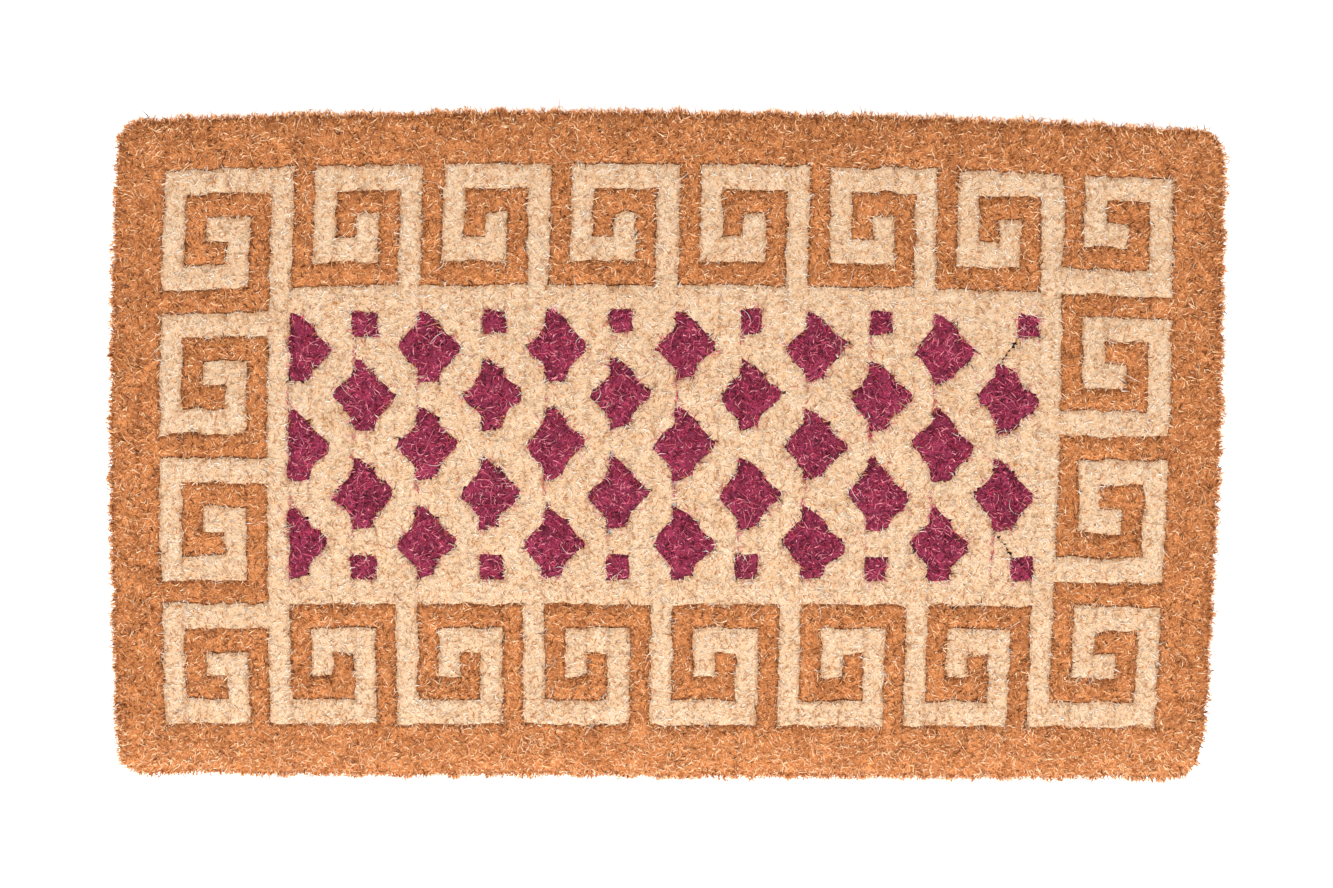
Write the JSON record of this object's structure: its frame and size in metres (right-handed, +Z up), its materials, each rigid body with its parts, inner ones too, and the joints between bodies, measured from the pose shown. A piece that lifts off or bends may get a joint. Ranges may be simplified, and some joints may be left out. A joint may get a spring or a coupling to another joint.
{
  "type": "door mat",
  "caption": "Thick handwoven coir door mat: sheared pile with a bleached key-pattern border and plum lozenges, on warp chains and a weft cord, with a plaited and stitched edge.",
  "frame": {"origin": "middle of the mat's overall box, at the height of the floor that it lies on", "axes": "+X along the long side, the way the warp chains run; +Y across the mat to the far long side; +Z up, out of the pile"},
  "size_m": [0.765, 0.459, 0.038],
  "materials": {
    "coir_natural": "matte",
    "coir_bleached": "matte",
    "coir_plum": "matte",
    "coir_chain_yarn": "matte",
    "coir_weft_yarn": "matte",
    "coir_braid": "matte",
    "jute_twine": "matte"
  },
  "bodies": {
    "root": {"natural_pile": "coir_natural", "bleached_pile": "coir_bleached", "plum_pile_01": "coir_plum", "plum_pile_02": "coir_plum", "plum_pile_03": "coir_plum", "plum_pile_04": "coir_plum", "plum_pile_05": "coir_plum", "plum_pile_06": "coir_plum", "plum_pile_07": "coir_plum", "plum_pile_08": "coir_plum", "plum_pile_09": "coir_plum", "plum_pile_10": "coir_plum", "plum_pile_11": "coir_plum", "plum_pile_12": "coir_plum", "warp_chain_01": "coir_chain_yarn", "warp_chain_02": "coir_chain_yarn", "warp_chain_03": "coir_chain_yarn", "warp_chain_04": "coir_chain_yarn", "warp_chain_05": "coir_chain_yarn", "warp_chain_06": "coir_chain_yarn", "warp_chain_07": "coir_chain_yarn", "warp_chain_08": "coir_chain_yarn", "warp_chain_09": "coir_chain_yarn", "warp_chain_10": "coir_chain_yarn", "warp_chain_11": "coir_chain_yarn", "warp_chain_12": "coir_chain_yarn", "warp_chain_13": "coir_chain_yarn", "warp_chain_14": "coir_chain_yarn", "warp_chain_15": "coir_chain_yarn", "warp_chain_16": "coir_chain_yarn", "warp_chain_17": "coir_chain_yarn", "warp_chain_18": "coir_chain_yarn", "warp_chain_19": "coir_chain_yarn", "warp_chain_20": "coir_chain_yarn", "warp_chain_21": "coir_chain_yarn", "warp_chain_22": "coir_chain_yarn", "warp_chain_23": "coir_chain_yarn", "warp_chain_24": "coir_chain_yarn", "warp_chain_25": "coir_chain_yarn", "warp_chain_26": "coir_chain_yarn", "warp_chain_27": "coir_chain_yarn", "weft_cord": "coir_weft_yarn", "edge_braid": "coir_braid", "edge_stitching": "jute_twine"}
  },
  "joints": []
}
